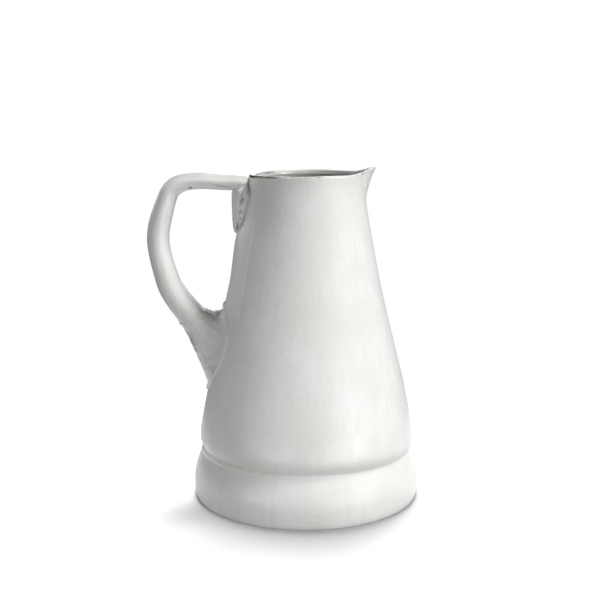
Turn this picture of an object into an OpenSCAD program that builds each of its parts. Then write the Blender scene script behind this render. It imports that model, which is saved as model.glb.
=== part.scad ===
// Ceramic pitcher: a tall cone-shaped body on a bulging foot band, with a pulled beak spout
// and a strap handle luted on through a gusset and a spread clay pad. Millimetres, +Z up.
// The origin is the centre of the foot on the ground, +X is the spout and -X the handle.

/* [Body] */
// Height of the rim above the ground
rim_h = 220; // [214:1:226]
// Outer radius of the rim
rim_r = 37.9; // [36.5:0.1:39.5]
// Height of the shoulder, the widest line of the wall
shoulder_h = 42; // [40:0.5:44]
// Outer radius of the shoulder
shoulder_r = 73.4; // [71:0.1:75]
// Thickness of the clay wall near the shoulder
wall_t = 5.2; // [4.6:0.1:6]
// Thickness of the clay at the rim
rim_t = 3; // [2.6:0.1:3.6]
// Thickness of the glaze that lines the inside
lining_t = 0.6; // [0.5:0.1:0.9]

/* [Foot] */
// Height of the foot band, up to the groove under the wall
foot_h = 34; // [32:0.5:36]
// Radius at the groove between the foot band and the wall
groove_r = 71.8; // [70:0.1:72.5]
// Greatest radius of the foot band
foot_r = 77.1; // [76:0.1:79]
// Height at which the foot band is widest
foot_wide_h = 10.7; // [9:0.1:13]
// Outer radius of the ring that touches the ground
ground_r = 74.4; // [72:0.1:75]
// Thickness of the base slab
base_t = 6.5; // [5:0.5:8]
// Height of the base slab's underside above the ground
base_gap = 2; // [1:0.5:3]

/* [Spout] */
// How far the beak's tip stands out beyond the rim
beak_reach = 9.6; // [7:0.1:11]
// How far the beak's tip rises above the rim
beak_rise = 4; // [2:0.1:6]
// Height of the beak, from its lowest point up to the rim
beak_drop = 21.5; // [19:0.5:24]
// Half the width of the notch that the beak is let into
beak_half_w = 12.5; // [11:0.5:14]

/* [Handle] */
// Distance from the axis of the pitcher to the middle of the handle's upright
reach = 98.8; // [95:0.1:104]
// Depth of the middle of the arm below the rim
arm_drop = 6; // [5.5:0.1:8]
// Thickness of the arm, seen from the side
arm_t = 10.4; // [9:0.1:12]
// Width of the arm, seen from the end
arm_w = 18; // [16:0.5:20]
// Thickness of the handle's lower end, seen from the side
tail_t = 18; // [16:0.1:19]
// Width of the handle's lower end, seen from the end
tail_w = 23; // [20:0.5:25]

/* [Joints of the handle] */
// Half the width of the gusset under the arm
gusset_half_w = 14.5; // [12:0.5:16]
// Height of the gusset's lowest point
gusset_low_h = 179.5; // [176:0.5:184]
// How far the gusset stands out from the wall, under the arm
gusset_t = 10.8; // [8:0.1:12]
// Height of the middle of the root pad
pad_h = 102; // [99:0.5:103]
// Half the height of the root pad
pad_half_h = 28.5; // [26:0.5:30]
// Half the width of the root pad
pad_half_w = 28; // [25:0.5:30]
// Thickness of the root pad at its edge
pad_edge_t = 0.8; // [0.5:0.1:1.5]

/* [Hidden] */
$fn = 96;

wall_steps = 14;                   // straight steps along the wall's outline
base_top = base_gap + base_t;      // height of the floor inside
band_inner_r = groove_r - wall_t;  // inner radius at the top of the foot band
bore_r = 66.4;                     // inner radius of the foot band at the base slab
pool_r = 7;                        // radius of the glaze pooled in the corner of the floor
sink = 2;                          // depth of the root pad's skin inside the wall, before it is cut away
pad_taper = 0.21;                  // how much wider the root pad is at its top than at its middle
notch_mid_h = rim_h - beak_drop + beak_half_w;  // height of the middle of the notch's round foot
arm_z = rim_h - arm_drop;

// Curves

function mix(a, b, share) = a + (b - a) * share;

function bezier(p, t) = let (u = 1 - t)
    u * u * u * p[0] + 3 * u * u * t * p[1] + 3 * u * t * t * p[2] + t * t * t * p[3];

function curve(p, steps) = [for (i = [0:steps]) bezier(p, i / steps)];

// A curve from a to b that leaves along u and arrives along v
function hermite(a, b, u, v, steps) = curve([a, a + u / 3, b - v / 3, b], steps);

// A smooth path through the rows of k, with some steps between each two rows
function smooth_path(k, steps) = let (n = len(k)) [
    for (i = [0:n - 2])
        let (
            before = (i > 0) ? (k[i + 1] - k[i - 1]) / 2 : k[1] - k[0],
            after = (i < n - 2) ? (k[i + 2] - k[i]) / 2 : k[n - 1] - k[n - 2]
        )
        for (j = [0:steps - 1 + ((i == n - 2) ? 1 : 0)])
            hermite(k[i], k[i + 1], before, after, steps)[j]
];

function middle(ring) = [for (i = [0:2]) sum([for (p = ring) p[i]]) / len(ring)];

function sum(v, i = 0) = (i < len(v)) ? v[i] + sum(v, i + 1) : 0;

// The wall, as points of [radius, height]

wall_line = [[shoulder_r, shoulder_h], [shoulder_r, shoulder_h + 15],
             [rim_r - 0.8, rim_h - 26], [rim_r, rim_h]];
wall_curve = curve(wall_line, wall_steps);
groove_curve = curve([[groove_r, foot_h], [groove_r, foot_h + 1.8],
                      [shoulder_r, foot_h + 3], [shoulder_r, shoulder_h]], 4);

function wall_r(z) = lookup(z, [for (p = wall_curve) [p[1], p[0]]]);

// Thickness of the clay, which thins towards the rim
function clay_t(z) = lookup(z, [[shoulder_h, wall_t], [rim_h - 30, wall_t - 1], [rim_h, rim_t]]);

outer_points = [each groove_curve, for (p = wall_curve) if (p[1] > shoulder_h && p[1] < rim_h - 2) p];
inner_points = [
    [band_inner_r, foot_h],
    for (p = wall_curve) if (p[1] < rim_h - 2) [p[0] - clay_t(p[1]), p[1]],
    [rim_r - rim_t, rim_h - rim_t / 2 - 0.4]
];

function backwards(v) = [for (i = [len(v) - 1:-1:0]) v[i]];

// The rounded lip, from the outside to the inside
lip_points = [for (a = [0:30:180]) [rim_r - rim_t / 2 * (1 - cos(a)), rim_h - rim_t / 2 * (1 - sin(a))]];

// Solids

// A closed skin through rings of points. A fan closes ends that aren't flat.
module loft(rings, fans = true) {
    n = len(rings[0]);
    m = len(rings);
    sides = [
        for (i = [0:m - 2], j = [0:n - 1])
            let (a = i * n + j, b = i * n + (j + 1) % n, c = a + n, d = b + n)
            each [[a, b, d], [a, d, c]]
    ];
    first_fan = [for (j = [0:n - 1]) [m * n, (j + 1) % n, j]];
    last_fan = [for (j = [0:n - 1]) [m * n + 1, (m - 1) * n + j, (m - 1) * n + (j + 1) % n]];
    flat_ends = [[for (j = [n - 1:-1:0]) j], [for (j = [0:n - 1]) (m - 1) * n + j]];
    points = [each [for (ring = rings) each ring], middle(rings[0]), middle(rings[m - 1])];
    polyhedron(points, concat(sides, fans ? concat(first_fan, last_fan) : flat_ends));
}

// Everything inside the outer face of the wall, up to the rim
module wall_core() {
    rotate_extrude() polygon([[0, foot_h], each outer_points, each [for (i = [0:3]) lip_points[i]],
                              [0, rim_h]]);
}

// The notch in the rim that the spout is let into, with straight sides and a round foot
module spout_notch() {
    rotate([90, 0, 90])
        linear_extrude(rim_r + 30) {
            translate([0, notch_mid_h])
                circle(beak_half_w);
            translate([-beak_half_w, notch_mid_h])
                square([2 * beak_half_w, rim_h - notch_mid_h + 10]);
        }
}

// Half the width of the notch at height z
function notch_half_w(z) = let (below = max(0, notch_mid_h - z))
    sqrt(max(0.01, beak_half_w * beak_half_w - below * below));

// Sub-parts

module body_wall() {
    color("white")
        difference() {
            rotate_extrude()
                polygon([each outer_points, each lip_points, each backwards(inner_points)]);
            spout_notch();
        }
}

module foot_band() {
    upper = curve([[foot_r, foot_wide_h], [foot_r, foot_wide_h + 12.3],
                   [groove_r + 0.2, foot_h - 4.5], [groove_r, foot_h]], 8);
    lower = curve([[ground_r, 0], [ground_r + 2, 0.6],
                   [foot_r, foot_wide_h - 6], [foot_r, foot_wide_h]], 6);
    chamfer = 1.5;
    color("whitesmoke")
        rotate_extrude()
            polygon([each [for (i = [0:5]) lower[i]], each upper,
                     [band_inner_r, foot_h], [bore_r, base_top], [bore_r, chamfer],
                     [bore_r + chamfer, 0]]);
}

module base_slab() {
    color("saddlebrown")
        translate([0, 0, base_gap])
            cylinder(h = base_t, r = bore_r);
}

module inside_glaze() {
    bore = bore_r - lining_t;
    floor_h = base_top + lining_t;
    pool = [for (a = [0:15:90])
        [bore - pool_r * (1 - cos(a)), floor_h + pool_r * (1 - sin(a))]];
    face = [each backwards([for (p = inner_points) p - [lining_t, 0]]), each pool];
    color("ivory")
        difference() {
            rotate_extrude()
                polygon([[0, base_top], [bore_r, base_top], each inner_points, each face, [0, floor_h]]);
            spout_notch();
        }
}

module spout_lip() {
    columns = 20;
    rows = 10;
    edge_w = beak_half_w + 1;                  // the shell is made wider, then cut to the notch
    low = rim_h - beak_drop;
    spring_h = low + 4;                        // where the beak starts to lean out
    tip_h = rim_h + beak_rise;
    // Share of the beak's lean at y and height z, with a small round at the tip
    function across(y, z) = let (s = y / notch_half_w(z))
        pow(max(0, 1.05 - sqrt(s * s + 0.0025)), 1.4);
    // Share of the beak's lean at height z
    function up(z) = pow(max(0, (z - spring_h) / (tip_h - spring_h)), 1.4);
    // A point of the beak, a depth t into the clay
    function beak_point(y, z, t) = let (r = wall_r(z) - t)
        [sqrt(r * r - y * y) + beak_reach * across(y, z) * up(z), y, z];
    function column(y) = let (
        top = rim_h + beak_rise * across(y, rim_h) - rim_t / 2,
        heights = [for (i = [0:rows]) mix(low - 1, top, i / rows)],
        lip = [for (a = [30:30:150])
            beak_point(y, top + rim_t / 2 * sin(a), rim_t / 2 * (1 - cos(a)))]
    ) [
        each [for (z = heights) beak_point(y, z, 0)],
        each lip,
        each backwards([for (z = heights) beak_point(y, z, clay_t(z))])
    ];
    color("white")
        intersection() {
            loft([for (i = [0:columns]) column(mix(-edge_w, edge_w, i / columns))], fans = false);
            spout_notch();
        }
}

// The handle's route, as rows of [x, z, half the thickness, half the width]
handle_route = [
    [-34, arm_z - 1, arm_t / 2, arm_w / 2 - 0.5],
    [-52, arm_z, arm_t / 2, arm_w / 2],
    [27 - reach, arm_z + 0.2, arm_t / 2 + 0.1, arm_w / 2],
    [11.5 - reach, arm_z - 3.5, arm_t / 2 + 1, arm_w / 2 + 0.3],
    [5 - reach, arm_z - 15, arm_t / 2 + 1.4, arm_w / 2 + 0.7],
    [-reach, arm_z - 39, arm_t / 2 + 2.3, arm_w / 2 + 1],
    [5.5 - reach, arm_z - 65, tail_t / 2 - 1.1, tail_w / 2 - 1.2],
    [12 - reach, arm_z - 78, tail_t / 2 - 0.5, tail_w / 2 - 0.7],
    [20.6 - reach, arm_z - 89.4, tail_t / 2 + 0.3, tail_w / 2]
];
handle_steps = 4;
handle_sides = 24;
handle_line = smooth_path(handle_route, handle_steps);

// The way the handle runs at place i of its route, as [x, z]
function handle_way(i) = let (
    a = handle_line[max(i - 1, 0)],
    b = handle_line[min(i + 1, len(handle_line) - 1)],
    d = [b[0] - a[0], b[1] - a[1]]
) d / norm(d);

// An oval ring across the handle at place i. Angle 0 is on the inner edge.
function handle_ring(i) = let (p = handle_line[i], way = handle_way(i)) [
    for (j = [0:handle_sides - 1])
        let (
            a = 360 * j / handle_sides,
            across = p[2] * cos(a)
        )
        [p[0] - way[1] * across, p[3] * sin(a), p[1] + way[0] * across]
];

module handle_shape() {
    loft([for (i = [0:len(handle_line) - 1]) handle_ring(i)]);
}

module handle_loop() {
    color("snow")
        difference() {
            handle_shape();
            wall_core();
        }
}

module handle_gusset() {
    rows = 10;
    sides = 10;
    top = arm_z + 1;
    edge_t = 0.05;  // thickness of the gusset along its edge
    // Share of the way down from the top of the gusset to its lowest point
    function down(z) = (top - z) / (top - gusset_low_h);
    // How round the gusset closes at its foot and, inside the arm, at its top
    function closing(z, power) = sqrt(max(0, 1 - pow(down(z), power)))
        * sqrt(max(0, 1 - pow(1 - min(1, down(z) / 0.3), 2)));
    function half_w(z) = max(0.4, gusset_half_w * closing(z, 4));
    function stand(z) = max(0.4, gusset_t * (1 - 0.5 * down(z)) * closing(z, 8));
    function wall_x(y, z) = -sqrt(wall_r(z) * wall_r(z) - y * y);
    function ring(z) = [
        for (a = [-90:180 / sides:90])
            let (y = half_w(z) * sin(a)) [wall_x(y, z) - stand(z) * pow(cos(a), 0.7) - edge_t, y, z],
        for (a = [90:-180 / sides:-90])
            let (y = half_w(z) * sin(a)) [wall_x(y, z), y, z]
    ];
    color("linen")
        difference() {
            loft([for (i = [0:rows]) ring(mix(gusset_low_h, top, i / rows))]);
            handle_shape();
        }
}

module handle_root_pad() {
    steps = 7;
    last = len(handle_line) - 1;
    start = handle_ring(last);
    way = handle_way(last);
    // A point at angle a of the pad's outline, at a scale k of its full size, clear of the wall by gap
    function outline(a, k, gap) = let (
        y = k * pad_half_w * sin(a) * (1 + k * pad_taper * cos(a)),
        z = pad_h + k * pad_half_h * cos(a),
        r = wall_r(z) + gap
    ) [-sqrt(r * r - y * y), y, z];
    lines = [
        for (j = [0:handle_sides - 1])
            let (
                a = 360 * j / handle_sides,
                edge = outline(a, 1, pad_edge_t),
                near_top = (1 + cos(a)) / 2,
                hug = 1 - 0.2 * pow(near_top, 2) - 0.7 * pow(1 - near_top, 2),
                leaving = [way[0], 0, way[1]] * (20 - 12 * cos(a)),
                arriving = (edge - outline(a, 0.8, pad_edge_t)) * 5 * hug
            )
            [each hermite(start[j], edge, leaving, arriving, steps), outline(a, 1, -sink)]
    ];
    color("seashell")
        difference() {
            loft([for (i = [0:steps + 1]) [for (line = lines) line[i]]]);
            wall_core();
        }
}

body_wall();
foot_band();
base_slab();
inside_glaze();
spout_lip();
handle_loop();
handle_gusset();
handle_root_pad();
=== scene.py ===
"""Looks of the handmade ceramic pitcher: white glaze over dark clay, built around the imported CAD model.

Lengths in this script are millimetres until a mesh is made, and the frame is the CAD model's own:
the origin is the centre of the foot on the ground, +Z up, +X to the beak and -X to the handle.
Every piece is first laid out true, then by_hand() gives them all the same hand-thrown unevenness,
so that pieces that meet in the CAD model still meet here.
"""

import math

import bmesh
import bpy
import numpy as np

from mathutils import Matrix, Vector


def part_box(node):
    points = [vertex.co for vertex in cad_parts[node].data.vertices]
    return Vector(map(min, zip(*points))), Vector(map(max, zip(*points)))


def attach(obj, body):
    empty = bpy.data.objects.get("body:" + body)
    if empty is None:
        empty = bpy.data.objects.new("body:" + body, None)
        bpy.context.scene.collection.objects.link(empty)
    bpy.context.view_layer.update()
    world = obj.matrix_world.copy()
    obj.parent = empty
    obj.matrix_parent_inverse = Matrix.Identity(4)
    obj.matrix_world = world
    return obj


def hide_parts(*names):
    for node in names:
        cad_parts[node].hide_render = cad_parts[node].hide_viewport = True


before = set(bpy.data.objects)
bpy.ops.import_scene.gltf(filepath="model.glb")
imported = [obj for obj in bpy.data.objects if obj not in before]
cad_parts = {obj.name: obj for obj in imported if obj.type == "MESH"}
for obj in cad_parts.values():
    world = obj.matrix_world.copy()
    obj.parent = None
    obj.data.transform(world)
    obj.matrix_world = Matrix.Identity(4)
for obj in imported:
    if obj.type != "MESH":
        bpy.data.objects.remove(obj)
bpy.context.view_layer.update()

MM = 0.001  # metres in a millimetre


# ---------------------------------------------------------------------------------------------
# Sizes, from the frame where a CAD node has them
# ---------------------------------------------------------------------------------------------


def low_corner(node):
    return np.array(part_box(node)[0]) / MM


def high_corner(node):
    return np.array(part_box(node)[1]) / MM


RIM_H = high_corner("body_wall")[2]
SHOULDER_R = high_corner("body_wall")[1]
FOOT_H = high_corner("foot_band")[2]
FOOT_R = high_corner("foot_band")[1]
SLAB_LOW = low_corner("base_slab")[2]
SLAB_TOP = high_corner("base_slab")[2]
BORE_R = high_corner("base_slab")[1]
NOTCH_LOW = low_corner("spout_lip")[2]
NOTCH_W = high_corner("spout_lip")[1]
BEAK_TIP_X = high_corner("spout_lip")[0]
BEAK_TIP_H = high_corner("spout_lip")[2]
HANDLE_OUT_X = low_corner("handle_loop")[0]
GUSSET_LOW = low_corner("handle_gusset")[2]
PAD_LOW = low_corner("handle_root_pad")[2]

RIM_R = 37.9  # outer radius of the rim
RIM_T = 3.0  # thickness of the lip
SHOULDER_H = 42.0  # height of the widest line of the wall
WALL_T = 5.2  # thickness of the clay near the shoulder
GROOVE_R = 71.4  # radius in the groove above the foot band
FOOT_WIDE_H = 10.7  # height at which the foot band is widest
GROUND_R = 74.4  # outer radius of the ring on the ground
LINING_T = 0.6  # thickness of the glaze inside
POOL_R = 7.0  # radius of the glaze pooled in the corner of the floor
FINGER_PITCH = 10.5  # height from one ring of the thrower's fingers to the next
ARM_T = 10.4  # thickness of the handle's arm
ARM_W = 18.0  # width of the arm
TAIL_T = 18.0  # thickness of the handle's lower end
TAIL_W = 23.0  # width of the handle's lower end
ARM_H = RIM_H - 6  # height of the middle of the arm
REACH = -HANDLE_OUT_X - ARM_T / 2 - 2.3  # from the axis to the middle of the upright
GUSSET_W = 14.5  # half the width of the gusset
GUSSET_T = 10.8  # how far the gusset stands out under the arm
SUNK = 1.0  # how deep the gusset and the root pad reach into the wall, so that no gap shows
PAD_HALF_H = 28.5  # half the height of the root pad
PAD_HALF_W = 28.0  # half its width
PAD_MID_H = PAD_LOW + PAD_HALF_H
PAD_TAPER = 0.21  # how much wider the pad is at its top than at its middle


# ---------------------------------------------------------------------------------------------
# Small tools
# ---------------------------------------------------------------------------------------------


def mix(a, b, share):
    return a + (b - a) * share


def smoothstep(low, high, x):
    t = np.clip((np.asarray(x, float) - low) / (high - low), 0, 1)
    return t * t * (3 - 2 * t)


def bell(x, middle, width):
    """1 where x is at the middle, fading on both sides over about the width."""
    return np.exp(-(((x - middle) / width) ** 2))


def bezier(points, t):
    p = [np.asarray(q, float) for q in points]
    t = np.asarray(t, float)[..., None]
    u = 1 - t
    return u**3 * p[0] + 3 * u * u * t * p[1] + 3 * u * t * t * p[2] + t**3 * p[3]


def hermite(a, b, leave, arrive, t):
    return bezier([a, a + leave / 3, b - arrive / 3, b], t)


def smooth_path(rows, steps):
    """A smooth path through the rows, with some steps between each two of them."""
    rows = np.asarray(rows, float)
    ways = np.gradient(rows, axis=0)
    t = np.arange(steps) / steps
    spans = [hermite(rows[i], rows[i + 1], ways[i], ways[i + 1], t) for i in range(len(rows) - 1)]
    return np.vstack([*spans, rows[-1:]])


class Ripple:
    """Soft unevenness in space, about -1 to 1: a sum of plane waves with seeded directions."""

    def __init__(self, seed, length, stretch=(1, 1, 1), waves=16):
        rng = np.random.default_rng(seed)
        ways = rng.normal(size=(waves, 3))
        ways /= np.linalg.norm(ways, axis=1)[:, None]
        pace = 2 * math.pi / length * rng.uniform(0.6, 1.5, size=(waves, 1))
        self.ways = ways * pace / np.asarray(stretch, float)
        self.starts = rng.uniform(0, 2 * math.pi, waves)
        self.size = 0.8 / math.sqrt(waves)

    def __call__(self, p):
        return np.sin(p @ self.ways.T + self.starts).sum(-1) * self.size


# ---------------------------------------------------------------------------------------------
# The form of the body
# ---------------------------------------------------------------------------------------------

WALL_LINE = bezier(
    [
        (SHOULDER_R, SHOULDER_H),
        (SHOULDER_R, SHOULDER_H + 15),
        (RIM_R - 0.8, RIM_H - 26),
        (RIM_R, RIM_H),
    ],
    np.linspace(0, 1, 400),
)
GROOVE_LINE = bezier(
    [
        (GROOVE_R, FOOT_H),
        (GROOVE_R, FOOT_H + 1.5),
        (SHOULDER_R, FOOT_H + 3),
        (SHOULDER_R, SHOULDER_H),
    ],
    np.linspace(0, 1, 60),
)


def wall_r(z):
    """Outer radius of the wall at height z, with the rounded shoulder down to the groove."""
    upper = np.interp(z, WALL_LINE[:, 1], WALL_LINE[:, 0])
    lower = np.interp(z, GROOVE_LINE[:, 1], GROOVE_LINE[:, 0])
    return np.where(np.asarray(z) < SHOULDER_H, lower, upper)


def clay_t(z):
    """Thickness of the clay, which thins towards the rim."""
    return np.interp(z, [SHOULDER_H, RIM_H - 30, RIM_H], [WALL_T, WALL_T - 1, RIM_T])


def notch_half_w(z):
    """Half the width of the notch that the beak is let into, at height z."""
    below = np.clip(NOTCH_LOW + NOTCH_W - np.asarray(z, float), 0, NOTCH_W)
    return np.sqrt(np.maximum(0, NOTCH_W**2 - below**2))


GLAZE_RUN_ANGLE = math.radians(-143)  # where a long run of glaze stands on the wall
GLAZE_RUN_W = 0.02  # how wide it is, in radians

body_wave = Ripple(3, 85, stretch=(1, 1, 1.6))
body_dent = Ripple(11, 26, stretch=(1, 1, 2.2))
rim_wave = Ripple(5, 40)


def smear(z):
    """How far the clay smeared down the wall from the gusset stands out at height z."""
    return 2.3 * smoothstep(144, 177, z) * (1 - smoothstep(179, 192, z))


def glaze_run(angle, z):
    """How far the long run of glaze beside the handle stands out."""
    down_wall = smoothstep(112, 150, z) * smoothstep(203, 190, z)
    return 0.7 * bell(angle, GLAZE_RUN_ANGLE, GLAZE_RUN_W) * down_wall


def groove_lip(angle, radius, z):
    """A low ridge just under the groove and a crease in the groove, on the handle's side."""
    lip = bell(z, FOOT_H - 1.7, 0.8) - bell(z, FOOT_H, 0.6)
    return 0.5 * lip * smoothstep(60, 66, radius) * smoothstep(0.3, -0.5, np.cos(angle))


def by_hand(points):
    """Points of a true pitcher, moved as the potter's hands left them."""
    p = np.asarray(points, float)
    z = p[..., 2]
    angle = np.arctan2(p[..., 1], p[..., 0])
    radius = np.maximum(np.hypot(p[..., 0], p[..., 1]), 1.0)
    off_ground = smoothstep(0, FOOT_H, z)
    at_rim = smoothstep(RIM_H - 26, RIM_H - 1, z)
    at_groove = bell(z, FOOT_H, 12)
    near_beak = np.clip(1 - np.abs(angle) / 0.95, 0, 1) ** 1.6
    under_handle = bell(np.abs(angle), math.pi, 0.42) * (1 - smoothstep(56, 64, radius))
    by_handle = smoothstep(-0.35, -0.95, np.cos(angle)) * (1 - smoothstep(40, 50, radius))
    grow = off_ground * (0.3 * body_wave(p) + 0.05 * body_dent(p)) + 1.0 * near_beak * at_rim
    grow += under_handle * smear(z) + glaze_run(angle, z) + groove_lip(angle, radius, z)
    lift = at_rim * (0.3 * rim_wave(p) + 1.2 * near_beak - 0.9 * by_handle + 0.3 * np.sin(angle))
    lift += at_groove * (-0.6 * np.cos(angle) - 0.4 * np.sin(angle))
    lean = np.interp(z, [0, 12, 43, 80, 140, 200, 230], [0, 0, 0.5, 0.35, -0.6, -0.1, 0])
    moved = p.copy()
    moved[..., 0] += p[..., 0] / radius * grow + lean
    moved[..., 1] += p[..., 1] / radius * grow
    moved[..., 2] += lift
    return moved


# ---------------------------------------------------------------------------------------------
# Meshes
# ---------------------------------------------------------------------------------------------


def grid_faces(rows, columns, close_rows=False, close_columns=False):
    """Quads over a grid of points stored row by row."""
    faces = []
    for i in range(rows if close_rows else rows - 1):
        for j in range(columns if close_columns else columns - 1):
            a = i * columns + j
            b = i * columns + (j + 1) % columns
            step = ((i + 1) % rows - i) * columns
            faces.append((a, b, b + step, a + step))
    return faces


def clean_mesh(mesh):
    """Welds points that coincide, drops faces that vanish and turns every face outwards."""
    bm = bmesh.new()
    bm.from_mesh(mesh)
    bmesh.ops.remove_doubles(bm, verts=bm.verts, dist=0.002 * MM)
    bmesh.ops.dissolve_degenerate(bm, edges=bm.edges, dist=0.0005 * MM)
    bmesh.ops.recalc_face_normals(bm, faces=bm.faces)
    bm.to_mesh(mesh)
    bm.free()
    mesh.update()


def make_piece(name, points, faces, flat_faces, node, material, wear_and_shade=None):
    """A closed mesh from points in millimetres, riding on the CAD body in place of its CAD node."""
    mesh = bpy.data.meshes.new(name)
    mesh.from_pydata((by_hand(points) * MM).tolist(), [], list(faces) + list(flat_faces))
    smooth = np.ones(len(mesh.polygons), bool)
    smooth[len(faces):] = False
    mesh.polygons.foreach_set("use_smooth", smooth)
    # This attribute marks glaze rubbed thin on the rim and foot, and painted shade on the handle, gusset
    # and root pad.
    attribute = mesh.attributes.new("wear_and_shade", "FLOAT", "POINT")
    if wear_and_shade is not None:
        attribute.data.foreach_set("value", np.asarray(wear_and_shade, np.float32).ravel())
    clean_mesh(mesh)
    mesh.materials.append(material)
    piece = bpy.data.objects.new(name, mesh)
    bpy.context.scene.collection.objects.link(piece)
    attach(piece, "root")
    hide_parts(node)
    return piece


def loft(name, rings, node, material, wear_and_shade=None):
    """A closed skin through rings of points, with a fan over each end."""
    rings = np.asarray(rings, float)
    m, n = rings.shape[:2]
    points = np.vstack([rings.reshape(-1, 3), rings[0].mean(0), rings[-1].mean(0)])
    faces = grid_faces(m, n, close_columns=True)
    first = [(m * n, (j + 1) % n, j) for j in range(n)]
    last = [(m * n + 1, (m - 1) * n + j, (m - 1) * n + (j + 1) % n) for j in range(n)]
    if wear_and_shade is not None:
        wear_and_shade = np.concatenate([np.asarray(wear_and_shade, float).ravel(), [0, 0]])
    return make_piece(name, points, faces, first + last, node, material, wear_and_shade)


# ---------------------------------------------------------------------------------------------
# Materials
# ---------------------------------------------------------------------------------------------


def new_material(name, **sockets):
    """A material, its nodes and links, and its shader with some sockets set by name."""
    material = bpy.data.materials.new(name)
    material.use_nodes = True
    tree = material.node_tree
    shader = tree.nodes["Principled BSDF"]
    for key, value in sockets.items():
        shader.inputs[key.replace("_", " ")].default_value = value
    return material, tree, shader


def noise(tree, scale, detail=2.0, stretch=(1, 1, 1)):
    """Noise over the object's own coordinates, in metres. Returns the socket with its value."""
    place = tree.nodes.new("ShaderNodeTexCoord")
    mapping = tree.nodes.new("ShaderNodeMapping")
    mapping.inputs["Scale"].default_value = stretch
    texture = tree.nodes.new("ShaderNodeTexNoise")
    texture.inputs["Scale"].default_value = scale
    texture.inputs["Detail"].default_value = detail
    tree.links.new(place.outputs["Object"], mapping.inputs["Vector"])
    tree.links.new(mapping.outputs["Vector"], texture.inputs["Vector"])
    return texture.outputs["Fac"]


def calculate(tree, operation, a, b):
    """A math node on two sockets or numbers."""
    node = tree.nodes.new("ShaderNodeMath")
    node.operation = operation
    for socket, value in zip(node.inputs, (a, b)):
        if isinstance(value, (int, float)):
            socket.default_value = value
        else:
            tree.links.new(value, socket)
    return node.outputs[0]


def between(tree, value, low, high, to_low=0.0, to_high=1.0):
    """value from low..high carried smoothly over to to_low..to_high."""
    node = tree.nodes.new("ShaderNodeMapRange")
    node.interpolation_type = "SMOOTHSTEP"
    tree.links.new(value, node.inputs["Value"])
    for key, number in (("From Min", low), ("From Max", high), ("To Min", to_low), ("To Max", to_high)):
        node.inputs[key].default_value = number
    return node.outputs["Result"]


def blend_colour(tree, share, a, b):
    """Colour a where share is 0 and b where it is 1. Each is a socket or three numbers."""
    node = tree.nodes.new("ShaderNodeMix")
    node.data_type = "RGBA"
    tree.links.new(share, node.inputs[0])
    for socket, value in ((node.inputs[6], a), (node.inputs[7], b)):
        if isinstance(value, tuple):
            socket.default_value = (*value, 1)
        else:
            tree.links.new(value, socket)
    return node.outputs[2]


def bump(tree, height, distance, strength=1.0, under=None):
    node = tree.nodes.new("ShaderNodeBump")
    node.inputs["Distance"].default_value = distance
    node.inputs["Strength"].default_value = strength
    tree.links.new(height, node.inputs["Height"])
    if under is not None:
        tree.links.new(under, node.inputs["Normal"])
    return node.outputs["Normal"]


WHITE = (0.86, 0.855, 0.84)
THIN_WHITE = (0.79, 0.78, 0.76)
# In the glaze, the grey and the dark clay below stand for glaze rubbed thin on the rim and foot, and for
# painted shade on the handle, gusset and root pad.
GREY_WEAR_AND_SHADE = (0.41, 0.395, 0.375)
# Painted shade: the lining's colours are darker than the white glaze outside, for the shade inside the
# pitcher.
LINING_SHADED_WHITE = (0.56, 0.555, 0.54)
LINING_SHADED_GREY = (0.49, 0.485, 0.47)
DARK_CLAY = (0.07, 0.06, 0.054)
BROWN_CLAY = (0.13, 0.1, 0.085)
GRIT = (0.2, 0.16, 0.14)


def glaze_material():
    """White glaze, a little uneven, thin and broken to grey and dark clay where the piece's mesh
    attribute marks it: rubbed through on the rim and foot, painted shade on the handle, gusset and root
    pad.
    """
    material, tree, shader = new_material("white_glaze", IOR=1.5, Specular_IOR_Level=0.35)
    mottle = noise(tree, 26, 3)
    streaks = noise(tree, 1, 2, stretch=(260, 260, 14))
    colour = blend_colour(tree, between(tree, mottle, 0.35, 0.7), WHITE, THIN_WHITE)
    colour = blend_colour(tree, between(tree, streaks, 0.4, 0.7, 0, 0.55), colour, THIN_WHITE)
    wear_and_shade_amount = tree.nodes.new("ShaderNodeAttribute")
    wear_and_shade_amount.attribute_name = "wear_and_shade"
    patches = noise(tree, 70, 2)
    specks = calculate(tree, "MULTIPLY", noise(tree, 700, 3), 0.5)
    broken = calculate(tree, "ADD", patches, specks)
    bare_and_shaded = calculate(tree, "MULTIPLY", wear_and_shade_amount.outputs["Fac"], broken)
    # Grey, then dark clay: glaze rubbed thin on the rim and foot, painted shade on the handle, gusset and
    # root pad.
    colour = blend_colour(tree, between(tree, bare_and_shaded, 0.42, 0.62), colour, GREY_WEAR_AND_SHADE)
    colour = blend_colour(tree, between(tree, bare_and_shaded, 0.6, 0.78), colour, DARK_CLAY)
    tree.links.new(colour, shader.inputs["Base Color"])
    glaze_rough = between(tree, mottle, 0.3, 0.7, 0.3, 0.4)
    bare_and_shaded_rough = between(tree, bare_and_shaded, 0.5, 0.75, 0, 0.4)
    rough = calculate(tree, "ADD", glaze_rough, bare_and_shaded_rough)
    tree.links.new(rough, shader.inputs["Roughness"])
    soft = bump(tree, noise(tree, 60, 2), 0.0006, 0.5)
    runs = bump(tree, streaks, 0.0003, 0.35, soft)
    fine = bump(tree, noise(tree, 420, 2), 0.00015, 0.7, runs)
    tree.links.new(fine, shader.inputs["Normal"])
    return material


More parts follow.
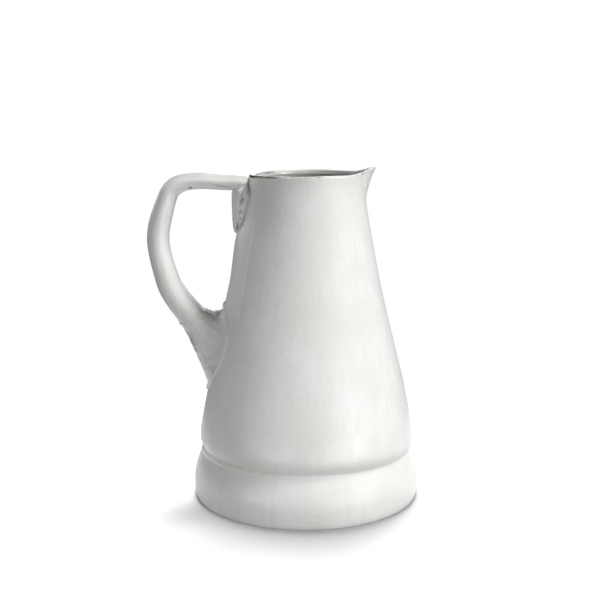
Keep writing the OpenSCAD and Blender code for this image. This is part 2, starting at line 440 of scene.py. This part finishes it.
def lining_material():
    """The thicker glaze inside, its white painted down to grey as painted shade inside the pitcher."""
    material, tree, shader = new_material("lining_glaze", IOR=1.5)
    mottle = noise(tree, 30, 3)
    colour = blend_colour(tree, between(tree, mottle, 0.35, 0.7), LINING_SHADED_WHITE, LINING_SHADED_GREY)
    tree.links.new(colour, shader.inputs["Base Color"])
    tree.links.new(between(tree, mottle, 0.3, 0.7, 0.18, 0.3), shader.inputs["Roughness"])
    tree.links.new(bump(tree, noise(tree, 70, 2), 0.0006, 0.5), shader.inputs["Normal"])
    return material


def clay_material():
    """Bare dark clay with fine grit."""
    material, tree, shader = new_material("bare_clay")
    grit = noise(tree, 900, 4)
    patches = noise(tree, 45, 3)
    colour = blend_colour(tree, between(tree, patches, 0.3, 0.7), DARK_CLAY, BROWN_CLAY)
    colour = blend_colour(tree, between(tree, grit, 0.6, 0.8), colour, GRIT)
    tree.links.new(colour, shader.inputs["Base Color"])
    tree.links.new(between(tree, grit, 0.3, 0.7, 0.7, 0.9), shader.inputs["Roughness"])
    tree.links.new(bump(tree, grit, 0.0004, 0.6), shader.inputs["Normal"])
    return material


GLAZE = glaze_material()
SHADED_LINING = lining_material()
CLAY = clay_material()


# ---------------------------------------------------------------------------------------------
# Wall, beak and lining: columns of rings around the notch
# ---------------------------------------------------------------------------------------------

LIP_ANGLES = np.radians([14, 32, 52, 72, 90, 108, 128, 148, 166])
LIP_WEAR = [0.9, 1, 1, 0.9, 0.6, 0.5, 0.6, 0.75, 0.8]  # one for each of the lip's angles
ROUNDED_SHOULDER = np.linspace(FOOT_H, SHOULDER_H, 24)[:-1]
BELOW_NOTCH = np.concatenate([ROUNDED_SHOULDER, np.linspace(SHOULDER_H, NOTCH_LOW - 1.5, 110)])
BESIDE_NOTCH = NOTCH_LOW + (RIM_H - RIM_T / 2 - NOTCH_LOW) * np.linspace(0, 1, 46) ** 1.4
BY_HAND_AT_TIP = 1.0  # about how far by_hand() moves the beak's tip out and up
EVEN_SHARES = np.linspace(0, 1, 361)  # columns of points round the wall
RUN_SHARES = np.linspace(0.596, 0.609, 12)  # more columns, across the run of glaze


def around(shares, z, depth, in_notch):
    """True points of the wall: round the body from one side of the notch to the other, or across it."""
    r = wall_r(z) - depth
    half_w = np.where(z < NOTCH_LOW, 0, notch_half_w(z))
    if in_notch:
        angle = np.arcsin(np.clip(shares * half_w / r, -0.9, 0.9))
    else:
        half = np.arcsin(np.clip(half_w / r, 0, 0.9))
        angle = mix(half, 2 * math.pi - half, shares)
    return np.stack([r * np.cos(angle), r * np.sin(angle), z + 0 * angle], -1)


def lean_beak(points):
    """Draws the middle of the notch out and up into the beak."""
    y, z = points[..., 1], points[..., 2]
    half_w = np.maximum(notch_half_w(z), 0.05)
    across = np.maximum(0, 1.05 - np.sqrt((y / half_w) ** 2 + 0.0025))
    across = across**1.4 * smoothstep(0.03, 0.35, across)
    spring_h = NOTCH_LOW + 4  # the beak begins to lean out here
    up = np.maximum(0, (z - spring_h) / (RIM_H - spring_h)) ** 1.4
    rise = smoothstep(spring_h, RIM_H, z)
    drawn = points.copy()
    drawn[..., 0] += (BEAK_TIP_X - RIM_R - BY_HAND_AT_TIP) * across * up
    drawn[..., 2] += (BEAK_TIP_H - RIM_H - BY_HAND_AT_TIP) * across * rise
    return drawn


def wall_rings(shares, heights, in_notch):
    """Points as [column, ring point, xyz]: outside upwards, over the lip, inside downwards."""
    shares = np.asarray(shares)[:, None]
    lip_z = RIM_H - RIM_T / 2 * (1 - np.sin(LIP_ANGLES))
    lip_depth = RIM_T / 2 * (1 - np.cos(LIP_ANGLES))
    z = np.concatenate([heights, lip_z, heights[::-1]])
    depth = np.concatenate([0 * heights, lip_depth, clay_t(heights[::-1])])
    return around(shares, z[None, :], depth[None, :], in_notch)


def lip_wear(rings, n):
    """The glaze is thin along the lip: broken through to the clay on its outer edge towards the handle,
    thin elsewhere.
    """
    z = rings[..., 2]
    wear_and_shade_amount = 0.8 * smoothstep(RIM_H - 3.2, RIM_H - RIM_T / 2, z) ** 2
    wear_and_shade_amount[:, n:n + len(LIP_ANGLES)] = LIP_WEAR
    cosine = rings[..., 0] / np.hypot(rings[..., 0], rings[..., 1])
    return wear_and_shade_amount * mix(0.6, 1.0, smoothstep(-0.25, -0.75, cosine))


def notch_side_faces(start, ring, n, first_open):
    """Flat faces that close the side of the notch, for the column that starts at a point's index."""
    faces = []
    for k in range(first_open, n - 1):
        outer, inner = start + k, start + ring - 1 - k
        faces.append((outer, outer + 1, inner - 1, inner))
    faces.append(tuple(range(start + n - 1, start + n + len(LIP_ANGLES) + 1)))
    return faces


def make_wall():
    heights = np.concatenate([BELOW_NOTCH, BESIDE_NOTCH])
    rings = wall_rings(np.sort(np.concatenate([EVEN_SHARES, RUN_SHARES])), heights, in_notch=False)
    columns, ring = rings.shape[:2]
    n = len(heights)
    first_open = len(BELOW_NOTCH)
    flat = notch_side_faces(0, ring, n, first_open)
    flat += notch_side_faces((columns - 1) * ring, ring, n, first_open)
    faces = grid_faces(columns, ring, close_columns=True)
    wear_and_shade_amount = lip_wear(rings, n)
    make_piece("body_wall_clay", rings.reshape(-1, 3), faces, flat, "body_wall", GLAZE, wear_and_shade_amount)


def make_beak():
    heights = BESIDE_NOTCH
    rings = lean_beak(wall_rings(np.linspace(-1, 1, 81), heights, in_notch=True))
    columns, ring = rings.shape[:2]
    n = len(heights)
    flat = notch_side_faces(0, ring, n, 0) + notch_side_faces((columns - 1) * ring, ring, n, 0)
    faces = grid_faces(columns, ring, close_columns=True)
    wear_and_shade_amount = lip_wear(rings, n)
    make_piece("spout_beak", rings.reshape(-1, 3), faces, flat, "spout_lip", GLAZE, wear_and_shade_amount)


def make_lining():
    """The glaze inside, over the rings left by the thrower's fingers, pooled in the floor's corner."""
    wall_z = np.concatenate([BELOW_NOTCH[::2], BESIDE_NOTCH[:-1:2]])
    fingers = 0.3 * np.sin(wall_z * 2 * math.pi / FINGER_PITCH)
    fingers *= smoothstep(FOOT_H, FOOT_H + 15, wall_z) * smoothstep(RIM_H, RIM_H - 45, wall_z)
    shares = np.linspace(0, 1, 241)
    floor_h = SLAB_TOP + LINING_T
    bore = BORE_R - LINING_T
    pool_angles = np.radians(np.linspace(0, 90, 14))
    pool_r = bore - POOL_R * (1 - np.cos(pool_angles))
    pool_z = floor_h + POOL_R * (1 - np.sin(pool_angles))
    floor_r = np.linspace(pool_r[-1], 0, 60)[1:]
    floor_z = floor_h + 0.15 * np.sin(floor_r * 0.9)
    front_z = np.concatenate([wall_z[::-1], pool_z, floor_z])
    wall_depth = clay_t(wall_z) + LINING_T + fingers
    front_depth = np.concatenate([wall_depth[::-1], 0 * pool_z, 0 * floor_z])
    front = around(shares[:, None], front_z[None, :], front_depth[None, :], in_notch=False)
    turn = 2 * math.pi * shares[:, None]
    flat_r = np.concatenate([pool_r, floor_r])
    front[:, len(wall_z):, 0] = flat_r * np.cos(turn)
    front[:, len(wall_z):, 1] = flat_r * np.sin(turn)
    back_z = np.concatenate([[SLAB_TOP, SLAB_TOP], wall_z])
    back_depth = np.concatenate([[0, 0], clay_t(wall_z)])
    back = around(shares[:, None], back_z[None, :], back_depth[None, :], in_notch=False)
    for k, r in enumerate((0, BORE_R)):
        back[:, k, 0] = (r * np.cos(turn))[:, 0]
        back[:, k, 1] = (r * np.sin(turn))[:, 0]
    rings = np.concatenate([front, back], 1)
    columns, ring = rings.shape[:2]
    faces = grid_faces(columns, ring, close_columns=True)
    flat = []
    n = len(wall_z)
    first_open = int(np.searchsorted(wall_z, NOTCH_LOW - 0.01))
    for start in (0, (columns - 1) * ring):
        for k in range(first_open, n - 1):
            a, b = start + n - 1 - k, start + ring - n + k
            flat.append((a, a - 1, b + 1, b))
    points = rings.reshape(-1, 3)
    make_piece("inside_glaze_lining", points, faces, flat, "inside_glaze", SHADED_LINING)


# ---------------------------------------------------------------------------------------------
# Foot band and base slab
# ---------------------------------------------------------------------------------------------


def turned(name, outline, columns, node, material, wear_and_shade_amount=None):
    """A closed turned ring from an outline of [radius, height]."""
    outline = np.asarray(outline, float)
    turn = np.linspace(0, 2 * math.pi, columns, endpoint=False)[:, None]
    r, z = outline[:, 0], outline[:, 1]
    points = np.stack([r * np.cos(turn), r * np.sin(turn), z + 0 * turn], -1)
    faces = grid_faces(columns, len(outline), close_rows=True, close_columns=True)
    wear_and_shade = None if wear_and_shade_amount is None else np.tile(wear_and_shade_amount, (columns, 1))
    make_piece(name, points.reshape(-1, 3), faces, [], node, material, wear_and_shade)


def make_foot_band():
    upper = bezier(
        [
            (FOOT_R, FOOT_WIDE_H),
            (FOOT_R, FOOT_WIDE_H + 12.3),
            (GROOVE_R + 0.2, FOOT_H - 4.5),
            (GROOVE_R, FOOT_H),
        ],
        np.linspace(0, 1, 70),
    )
    lower = bezier(
        [
            (GROUND_R + 0.9, 0),
            (GROUND_R + 2.2, 0.3),
            (FOOT_R, FOOT_WIDE_H - 6),
            (FOOT_R, FOOT_WIDE_H),
        ],
        np.linspace(0, 1, 30),
    )[:-1]
    inside = [
        (GROOVE_R - WALL_T, FOOT_H),
        (BORE_R, SLAB_TOP),
        (BORE_R, SLAB_LOW),
        (BORE_R, 1.5),
        (BORE_R + 0.45, 0.45),
        (BORE_R + 1.5, 0),
        (BORE_R + 4, 0),
        (GROUND_R - 2, 0),
    ]
    outline = np.vstack([lower, upper, inside])
    wear_and_shade_amount = 0.4 * (1 - smoothstep(0.1, 2.2, outline[:, 1]))
    wear_and_shade_amount[-6:] = 1.2
    turned("foot_band_clay", outline, 360, "foot_band", GLAZE, wear_and_shade_amount)


def make_base_slab():
    """The underside is dished, with the shallow rings that a turning tool leaves."""
    r = np.linspace(BORE_R, 0, 130)
    rings = 0.12 * np.sin(r * 1.9) + 0.05 * np.sin(r * 4.3)
    dish = 0.9 * (1 - (r / BORE_R) ** 4)
    under = np.stack([r, SLAB_LOW + dish + rings * smoothstep(BORE_R, BORE_R - 4, r)], -1)
    top = [(0, SLAB_TOP), (BORE_R, SLAB_TOP)]
    turned("base_slab_clay", np.vstack([under, top]), 180, "base_slab", CLAY)


# ---------------------------------------------------------------------------------------------
# Handle, gusset and root pad
# ---------------------------------------------------------------------------------------------

# The handle's route, as rows of [x, z, half the thickness, half the width]
HANDLE_ROUTE = [
    (-35.4, ARM_H - 0.9, 3.0, 3.4),
    (-36.6, ARM_H - 0.7, 4.6, 7.4),
    (-40, ARM_H - 0.4, ARM_T / 2 + 0.4, ARM_W / 2 + 0.4),
    (-46, ARM_H - 0.1, ARM_T / 2 + 0.4, ARM_W / 2 + 0.6),
    (-54, ARM_H, ARM_T / 2, ARM_W / 2),
    (27 - REACH, ARM_H + 0.2, ARM_T / 2 + 0.1, ARM_W / 2),
    (11.5 - REACH, ARM_H - 3.5, ARM_T / 2 + 1, ARM_W / 2 + 0.3),
    (5 - REACH, ARM_H - 15, ARM_T / 2 + 1.4, ARM_W / 2 + 0.7),
    (-REACH, ARM_H - 39, ARM_T / 2 + 2.3, ARM_W / 2 + 1),
    (5.5 - REACH, ARM_H - 65, TAIL_T / 2 - 1.1, TAIL_W / 2 - 1.2),
    (12 - REACH, ARM_H - 78, TAIL_T / 2 - 0.5, TAIL_W / 2 - 0.7),
    (20.6 - REACH, ARM_H - 89.4, TAIL_T / 2 + 0.3, TAIL_W / 2),
]
HANDLE_STEPS = 16
HANDLE_SIDES = 96
HANDLE_LINE = smooth_path(HANDLE_ROUTE, HANDLE_STEPS)
HANDLE_LAST = len(HANDLE_LINE) - 1
TURNS = np.linspace(0, 2 * math.pi, HANDLE_SIDES, endpoint=False)

handle_wave = Ripple(31, 32)
arm_folds = Ripple(41, 7, stretch=(7, 1.3, 1))
clay_lumps = Ripple(37, 9)


def handle_way(i):
    """The way the handle runs at place i of its line, as x and z."""
    d = HANDLE_LINE[min(i + 1, HANDLE_LAST)] - HANDLE_LINE[max(i - 1, 0)]
    return d[:2] / np.linalg.norm(d[:2])


def handle_ring(i):
    """An oval ring across the handle at place i, whose angle 0 is on the inner edge."""
    x, z, half_t, half_w = HANDLE_LINE[i]
    way = handle_way(i)
    across = half_t * np.cos(TURNS)
    side = half_w * np.sin(TURNS)
    return np.stack([x - way[1] * across, side, z + way[0] * across], -1)


def out_from_middle(rings):
    out = rings - rings.mean(-2, keepdims=True)
    return out / np.maximum(np.linalg.norm(out, axis=-1, keepdims=True), 1e-6)


def angle_lines(seed, count):
    """Fine lines as a function of the angle round the handle, about -1 to 1."""
    rng = np.random.default_rng(seed)
    waves = rng.integers(count // 2, count, 9)
    starts = rng.uniform(0, 2 * math.pi, 9)
    return np.sin(waves * TURNS[:, None] + starts).sum(-1) / 3


DRAWN = angle_lines(53, 30)


def pad_outline(k, gap):
    """The root pad's outline on the wall at a scale k of its full size, clear of the wall by gap."""
    y = k * PAD_HALF_W * np.sin(TURNS) * (1 + k * PAD_TAPER * np.cos(TURNS))
    z = PAD_MID_H + k * PAD_HALF_H * np.cos(TURNS)
    r = wall_r(z) + gap
    return np.stack([-np.sqrt(r * r - y * y), y, z], -1)


NEAR_TOP = 0.5 + 0.5 * np.cos(TURNS)
PAD_EDGE = mix(0.95, 1.0, NEAR_TOP**2)  # where the bead of slip begins, as a scale of the pad

# Where the handle ends and the pad begins, as a share of the root's skin
SEAM = np.clip(0.012 + 0.3 * NEAR_TOP + 0.02 * angle_lines(59, 20), 0.002, 1)

# The bead of slip, as rows of [how much of the pad's scale past its edge, height above the wall]
BEAD = [
    (0, 0.1),
    (0.01, 0.7),
    (0.03, 1.3),
    (0.05, 1.5),
    (0.07, 1.3),
    (0.092, 0.6),
    (0.11, 0),
    (0.11, -SUNK),
]


def root_skin(share):
    """The skin from the handle's end, where share is 0, to the pad's edge on the wall, at 1."""
    way = handle_way(HANDLE_LAST)
    edge = pad_outline(PAD_EDGE, 0.35)
    hug = 1 - 0.2 * NEAR_TOP**2 - 0.7 * (1 - NEAR_TOP) ** 2
    leaving = (20 - 12 * np.cos(TURNS))[:, None] * np.array([way[0], 0, way[1]])
    arriving = (edge - pad_outline(PAD_EDGE - 0.2, 0.35)) * 5 * hug[:, None]
    return hermite(handle_ring(HANDLE_LAST), edge, leaving, arriving, share * np.ones(len(TURNS)))


def make_handle():
    """The strap: soft all over, folded under the arm and drawn into lines towards its lower end."""
    strap = [handle_ring(i) for i in range(HANDLE_LAST + 1)]
    end = [root_skin(SEAM * share) for share in np.linspace(0, 1, 13)[1:]]
    rings = np.array(strap + end)
    out = out_from_middle(rings)
    places = np.arange(len(rings))[:, None]
    along = places / HANDLE_STEPS
    on_arm = smoothstep(2.6, 3.6, along) * (1 - smoothstep(5.2, 6.4, along))
    facing_down = np.clip(np.cos(TURNS - math.radians(-35)), 0, 1) ** 1.5
    top_line = bell(TURNS, math.radians(222), math.radians(7))
    near_end = smoothstep(8.3, 11, along)
    move = 0.25 * handle_wave(rings)
    move += 0.7 * on_arm * facing_down * arm_folds(rings)
    move -= 0.3 * on_arm * top_line
    move += 0.1 * near_end * DRAWN
    # Painted shade: the folds under the arm are darkened along their creases.
    painted_fold_shade = 0.9 * on_arm * facing_down**0.5 * bell(arm_folds(rings), 0, 0.16)
    outer = smoothstep(0.3, -0.6, np.cos(TURNS))
    # At the seam with the root pad the glaze thins, and painted shade darkens it further, most on the
    # outer side.
    seam_thinning_and_shade = (0.5 + 0.4 * outer) * np.exp(-((places[-1] - places) / 1.5))
    wear_and_shade_amount = np.clip(painted_fold_shade + seam_thinning_and_shade, 0, 1)
    loft("handle_strap", rings + out * move[..., None], "handle_loop", GLAZE, wear_and_shade_amount)


def make_gusset():
    """The wad of clay under the arm: a lumpy wedge on the wall, creased beside its rounded border."""
    top = ARM_H + 1
    z = np.linspace(GUSSET_LOW, top, 130)[:, None]
    down = (top - z) / (top - GUSSET_LOW)
    in_arm = np.sqrt(np.maximum(0, 1 - (1 - np.minimum(1, down / 0.3)) ** 2))  # round at its top
    half_w = np.maximum(0.1, GUSSET_W * np.sqrt(np.maximum(0, 1 - down**3)) * in_arm)
    reach = RIM_R + GUSSET_T + 0.9 - down**2 - smear(z)  # from the pitcher's axis to the wad's face
    stand = np.maximum(0.1, (reach - wall_r(z)) * np.sqrt(np.maximum(0, 1 - down**16)) * in_arm)
    share = np.linspace(-1, 1, 141)[None, :]
    turn = np.sign(share) * math.pi / 2 * (1 - (1 - np.abs(share)) ** 1.5)
    y = half_w * np.sin(turn)
    wall_x = -np.sqrt(wall_r(z) ** 2 - y * y)
    rise = np.maximum(np.cos(turn), 0) ** 0.7
    face = np.stack([wall_x - stand * rise, y, z + 0 * y], -1)
    lumps = clay_lumps(face * 1.6)
    below_arm = smoothstep(0.05, 0.2, down)
    crease = bell(rise - 0.08 * lumps, 0.48, 0.1) * below_arm
    border = bell(rise, 0.22, 0.1)
    lumpy = smoothstep(0.3, 0.45, rise) * below_arm * (1 - 0.8 * smoothstep(0.6, 0.95, rise))
    depth = 1.1 * crease - 1.2 * border - 0.6 * lumpy * lumps
    depth *= smoothstep(1.0, 0.93, down)
    face[..., 0] += depth * rise
    face[..., 1] -= depth * np.sign(turn) * np.sqrt(1 - rise**2)
    # Painted shade over the wad's lumpy face, deeper in its hollow places and in patches along the
    # crease.
    painted_hollow_shade = lumpy * smoothstep(0, 0.7, -lumps)
    painted_crease_shade = crease * smoothstep(-0.5, 0.3, np.sin(0.75 * z + 3 * lumps))
    painted_face_shade = (0.62 * lumpy + 0.15 * painted_hollow_shade + 0.12 * painted_crease_shade) * smoothstep(1.0, 0.9, down)
    back = np.stack([wall_x + SUNK, y, z + 0 * y], -1)[:, ::-1]
    wear_and_shade_amount = np.concatenate([painted_face_shade, 0 * painted_face_shade], 1)
    loft("gusset_wad", np.concatenate([face, back], 1), "handle_gusset", GLAZE, wear_and_shade_amount)


def make_root_pad():
    """Clay drawn from the handle's end and spread on the wall, with a bead of slip round its edge."""
    t = np.linspace(0, 1, 90)[:, None]  # 0 at the handle's end, 1 at the bead
    skin = np.array([root_skin(mix(SEAM, 1, share)) for share in t[:, 0]])
    out = out_from_middle(skin)
    fading = 1 - smoothstep(0.5, 1, t)
    at_seam = np.exp(-t / 0.03)
    crease = bell(t, 1, 0.035)
    move = fading * (0.25 * DRAWN + 0.25 * handle_wave(skin))
    move += 0.3 * np.sin(math.pi * t) * clay_lumps(skin * 1.5)
    move += (0.3 + 0.5 * (1 - NEAR_TOP)) * at_seam - 0.6 * crease
    skin += out * move[..., None]
    rings = np.concatenate([skin, [pad_outline(PAD_EDGE + k, gap) for k, gap in BEAD]])
    # Painted shade over the pad, darker on its outer side and in the crease by the bead. At the seam the
    # glaze also thins.
    outer = smoothstep(0.6, 1.0, 1 - NEAR_TOP)
    skin_shade_and_seam_thinning = 0.5 * at_seam + 0.5 * crease + (0.48 + 0.2 * outer) * smoothstep(0, 0.2, t)
    wear_and_shade_amount = np.concatenate([skin_shade_and_seam_thinning, np.zeros((len(BEAD), HANDLE_SIDES))])
    loft("root_pad_spread", rings, "handle_root_pad", GLAZE, wear_and_shade_amount)


# ---------------------------------------------------------------------------------------------
# Camera, light and floor
# ---------------------------------------------------------------------------------------------


SENSOR_W = 36
LENS = 64.77  # focal length
CAMERA_PLACE = (-4.1 * MM, -720 * MM, 263.9 * MM)
CAMERA_TILT = 10.22  # degrees below level
FLOOR_R = 0.3  # metres, as are all places and sizes of the lights
FLOOR_SIDES = 96
FILL = 0.01  # strength of the even light from all round

# Lights, as rows of [name, place, width, height, watts]
FLOOR_LIGHTS = [
    ("overhead", (0, 0.5, 1.2), 0.9, 0.9, 23.5),
    ("behind", (-0.05, 0.37, 1.25), 0.4, 0.4, 9.5),
    ("before", (0.2, -0.9, 1), 0.9, 0.9, 4.2),
]
STUDIO_LIGHTS = [
    ("key", (0.91, -0.48, 1.33), 0.3, 0.3, 9),
    ("high", (0.67, -0.12, 1.55), 0.3, 0.3, 13.2),
    ("right", (1.3, -0.75, 0.65), 0.8, 0.8, 4.5),
    ("left", (-1.48, -0.26, 0.65), 0.8, 0.8, 2.4),
    ("back", (-1.15, 0.97, 0.65), 0.8, 0.8, 3.2),
    ("rear", (0.2, 1.48, 0.65), 0.8, 0.8, 8),
]
LOW_STRIPS = [
    ("low_right", (0.42, -0.5, 0.03), 0.5, 0.05, 1.8),
    ("low_left", (-0.42, -0.45, 0.03), 0.5, 0.05, 1.0),
]


def make_camera():
    data = bpy.data.cameras.new("camera")
    data.lens = LENS
    data.sensor_width = SENSOR_W
    camera = bpy.data.objects.new("camera", data)
    camera.location = CAMERA_PLACE
    camera.rotation_euler = (math.radians(90 - CAMERA_TILT), 0, 0)
    bpy.context.scene.collection.objects.link(camera)
    bpy.context.scene.camera = camera


def area_light(name, place, target, width, height, power, floor, lights_floor):
    """A soft rectangular light that faces a target. It lights the floor alone, or all but the floor."""
    data = bpy.data.lights.new(name, "AREA")
    data.shape = "RECTANGLE"
    data.size = width
    data.size_y = height
    data.energy = power
    light = bpy.data.objects.new(name, data)
    light.location = place
    light.visible_camera = False
    way = Vector(target) - Vector(place)
    light.rotation_euler = way.to_track_quat("-Z", "Y").to_euler()
    bpy.context.scene.collection.objects.link(light)
    linked = bpy.data.collections.new(name + "_reach")
    linked.objects.link(floor)
    linked.collection_objects[0].light_linking.link_state = "INCLUDE" if lights_floor else "EXCLUDE"
    light.light_linking.receiver_collection = linked


def make_lights(floor):
    """Some lights make the shadow on the floor, and the others shape the pitcher."""
    groups = [(FLOOR_LIGHTS, 0, True), (STUDIO_LIGHTS, 0.1, False), (LOW_STRIPS, 0.03, False)]
    for lights, target_h, lights_floor in groups:
        for name, place, width, height, power in lights:
            area_light(name, place, (0, 0, target_h), width, height, power, floor, lights_floor)


def make_world():
    """The camera sees white behind the floor. The piece itself gets a dim, even light from it."""
    world = bpy.data.worlds.new("studio")
    bpy.context.scene.world = world
    world.use_nodes = True
    tree = world.node_tree
    tree.nodes.clear()
    out = tree.nodes.new("ShaderNodeOutputWorld")
    seen = tree.nodes.new("ShaderNodeBackground")
    seen.inputs["Color"].default_value = (1, 1, 1, 1)
    seen.inputs["Strength"].default_value = 1.0
    fill = tree.nodes.new("ShaderNodeBackground")
    fill.inputs["Color"].default_value = (1, 1, 1, 1)
    fill.inputs["Strength"].default_value = FILL
    path = tree.nodes.new("ShaderNodeLightPath")
    pick = tree.nodes.new("ShaderNodeMixShader")
    tree.links.new(path.outputs["Is Camera Ray"], pick.inputs[0])
    tree.links.new(fill.outputs[0], pick.inputs[1])
    tree.links.new(seen.outputs[0], pick.inputs[2])
    tree.links.new(pick.outputs[0], out.inputs["Surface"])


def make_floor():
    """A round pale table top that takes shadows and throws no light back up."""
    turn = np.linspace(0, 2 * math.pi, FLOOR_SIDES, endpoint=False)
    rim = [(FLOOR_R * math.cos(a), FLOOR_R * math.sin(a), 0) for a in turn]
    mesh = bpy.data.meshes.new("floor")
    mesh.from_pydata(rim, [], [tuple(range(FLOOR_SIDES))])
    material, _, _ = new_material(
        "pale_floor", Base_Color=(0.9, 0.9, 0.9, 1), Roughness=0.9, Specular_IOR_Level=0.0
    )
    mesh.materials.append(material)
    floor = bpy.data.objects.new("floor", mesh)
    bpy.context.scene.collection.objects.link(floor)
    floor.visible_diffuse = False
    return floor


make_wall()
make_beak()
make_lining()
make_foot_band()
make_base_slab()
make_handle()
make_gusset()
make_root_pad()
make_camera()
make_world()
make_lights(make_floor())
bpy.context.scene.view_settings.view_transform = "Standard"
